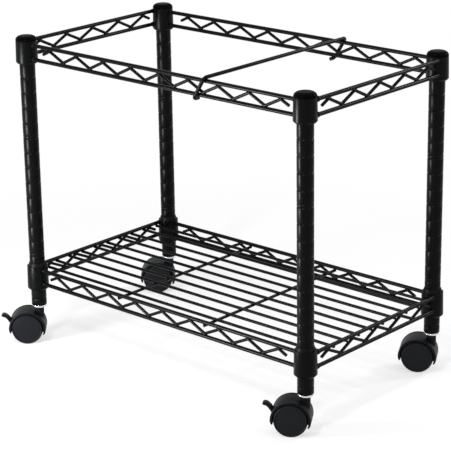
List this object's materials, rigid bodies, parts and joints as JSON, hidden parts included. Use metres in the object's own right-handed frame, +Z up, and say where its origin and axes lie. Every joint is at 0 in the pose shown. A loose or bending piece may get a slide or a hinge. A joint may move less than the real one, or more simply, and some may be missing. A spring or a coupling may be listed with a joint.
{
  "type": "mobile file cart",
  "caption": "Wire file cart on hooded twin-wheel casters: open top frame with a sliding cross rail for hanging files, wire shelf below, grooved tube posts.",
  "frame": {"origin": "floor level, in the middle of the cart's outline with the casters trailing as pictured", "axes": "+X along the long side, +Y from the front to the back, +Z up"},
  "size_m": [0.6504, 0.3894, 0.526],
  "materials": {
    "powder_coat": "gloss black powder coat on steel",
    "cap_plastic": "moulded black plastic",
    "sleeve_plastic": "moulded black plastic",
    "hood_plastic": "moulded charcoal plastic",
    "wheel_plastic": "moulded charcoal plastic",
    "lever_plastic": "moulded black plastic",
    "zinc_plate": "bright zinc plate on steel"
  },
  "bodies": {
    "frame": {"post_front_left": "powder_coat", "post_cap_front_left": "cap_plastic", "top_collar_front_left": "powder_coat", "shelf_collar_front_left": "powder_coat", "top_sleeve_front_left": "sleeve_plastic", "shelf_sleeve_front_left": "sleeve_plastic", "stem_socket_front_left": "zinc_plate", "caster_stem_front_left": "zinc_plate", "post_front_right": "powder_coat", "post_cap_front_right": "cap_plastic", "top_collar_front_right": "powder_coat", "shelf_collar_front_right": "powder_coat", "top_sleeve_front_right": "sleeve_plastic", "shelf_sleeve_front_right": "sleeve_plastic", "stem_socket_front_right": "zinc_plate", "caster_stem_front_right": "zinc_plate", "post_back_left": "powder_coat", "post_cap_back_left": "cap_plastic", "top_collar_back_left": "powder_coat", "shelf_collar_back_left": "powder_coat", "top_sleeve_back_left": "sleeve_plastic", "shelf_sleeve_back_left": "sleeve_plastic", "stem_socket_back_left": "zinc_plate", "caster_stem_back_left": "zinc_plate", "post_back_right": "powder_coat", "post_cap_back_right": "cap_plastic", "top_collar_back_right": "powder_coat", "shelf_collar_back_right": "powder_coat", "top_sleeve_back_right": "sleeve_plastic", "shelf_sleeve_back_right": "sleeve_plastic", "stem_socket_back_right": "zinc_plate", "caster_stem_back_right": "zinc_plate", "top_rail_front": "powder_coat", "top_rail_back": "powder_coat", "top_rail_left": "powder_coat", "top_rail_right": "powder_coat", "shelf_rail_front": "powder_coat", "shelf_rail_back": "powder_coat", "shelf_rail_left": "powder_coat", "shelf_rail_right": "powder_coat", "shelf_deck": "powder_coat"},
    "cross_rail": {"cross_rail": "powder_coat"},
    "caster_front_left": {"caster_hood_front_left": "hood_plastic", "caster_axle_front_left": "zinc_plate"},
    "wheel_outer_front_left": {"caster_wheel_outer_front_left": "wheel_plastic"},
    "wheel_inner_front_left": {"caster_wheel_inner_front_left": "wheel_plastic"},
    "brake_front_left": {"brake_lever_front_left": "lever_plastic"},
    "caster_front_right": {"caster_hood_front_right": "hood_plastic", "caster_axle_front_right": "zinc_plate"},
    "wheel_outer_front_right": {"caster_wheel_outer_front_right": "wheel_plastic"},
    "wheel_inner_front_right": {"caster_wheel_inner_front_right": "wheel_plastic"},
    "brake_front_right": {"brake_lever_front_right": "lever_plastic"},
    "caster_back_left": {"caster_hood_back_left": "hood_plastic", "caster_axle_back_left": "zinc_plate"},
    "wheel_outer_back_left": {"caster_wheel_outer_back_left": "wheel_plastic"},
    "wheel_inner_back_left": {"caster_wheel_inner_back_left": "wheel_plastic"},
    "caster_back_right": {"caster_hood_back_right": "hood_plastic", "caster_axle_back_right": "zinc_plate"},
    "wheel_outer_back_right": {"caster_wheel_outer_back_right": "wheel_plastic"},
    "wheel_inner_back_right": {"caster_wheel_inner_back_right": "wheel_plastic"}
  },
  "joints": [
    {"name": "cross_rail_slide", "type": "slide", "parent": "frame", "child": "cross_rail", "axis": [1, 0, 0], "range_m": [-0.349, 0.161]},
    {"name": "caster_swivel_front_left", "type": "hinge", "parent": "frame", "child": "caster_front_left", "pos_m": [-0.2736, -0.14504, 0.05], "axis": [0, 0, 1], "continuous": true},
    {"name": "wheel_spin_outer_front_left", "type": "hinge", "parent": "caster_front_left", "child": "wheel_outer_front_left", "pos_m": [-0.28896, -0.15936, 0.026], "axis": [-0.682, 0.7314, 0], "continuous": true},
    {"name": "wheel_spin_inner_front_left", "type": "hinge", "parent": "caster_front_left", "child": "wheel_inner_front_left", "pos_m": [-0.28896, -0.15936, 0.026], "axis": [-0.682, 0.7314, 0], "continuous": true},
    {"name": "brake_press_front_left", "type": "hinge", "parent": "caster_front_left", "child": "brake_front_left", "pos_m": [-0.30651, -0.17573, 0.0305], "axis": [0.682, -0.7314, 0], "range_deg": [0, 18]},
    {"name": "caster_swivel_front_right", "type": "hinge", "parent": "frame", "child": "caster_front_right", "pos_m": [0.3064, -0.14504, 0.05], "axis": [0, 0, 1], "continuous": true},
    {"name": "wheel_spin_outer_front_right", "type": "hinge", "parent": "caster_front_right", "child": "wheel_outer_front_right", "pos_m": [0.28879, -0.15647, 0.026], "axis": [-0.5446, 0.8387, 0], "continuous": true},
    {"name": "wheel_spin_inner_front_right", "type": "hinge", "parent": "caster_front_right", "child": "wheel_inner_front_right", "pos_m": [0.28879, -0.15647, 0.026], "axis": [-0.5446, 0.8387, 0], "continuous": true},
    {"name": "brake_press_front_right", "type": "hinge", "parent": "caster_front_right", "child": "brake_front_right", "pos_m": [0.26866, -0.16954, 0.0305], "axis": [0.5446, -0.8387, 0], "range_deg": [0, 18]},
    {"name": "caster_swivel_back_left", "type": "hinge", "parent": "frame", "child": "caster_back_left", "pos_m": [-0.2736, 0.17296, 0.05], "axis": [0, 0, 1], "continuous": true},
    {"name": "wheel_spin_outer_back_left", "type": "hinge", "parent": "caster_back_left", "child": "wheel_outer_back_left", "pos_m": [-0.2892, 0.15891, 0.026], "axis": [-0.6691, 0.7431, 0], "continuous": true},
    {"name": "wheel_spin_inner_back_left", "type": "hinge", "parent": "caster_back_left", "child": "wheel_inner_back_left", "pos_m": [-0.2892, 0.15891, 0.026], "axis": [-0.6691, 0.7431, 0], "continuous": true},
    {"name": "caster_swivel_back_right", "type": "hinge", "parent": "frame", "child": "caster_back_right", "pos_m": [0.3064, 0.17296, 0.05], "axis": [0, 0, 1], "continuous": true},
    {"name": "wheel_spin_outer_back_right", "type": "hinge", "parent": "caster_back_right", "child": "wheel_outer_back_right", "pos_m": [0.28821, 0.16246, 0.026], "axis": [-0.5, 0.866, 0], "continuous": true},
    {"name": "wheel_spin_inner_back_right", "type": "hinge", "parent": "caster_back_right", "child": "wheel_inner_back_right", "pos_m": [0.28821, 0.16246, 0.026], "axis": [-0.5, 0.866, 0], "continuous": true}
  ]
}
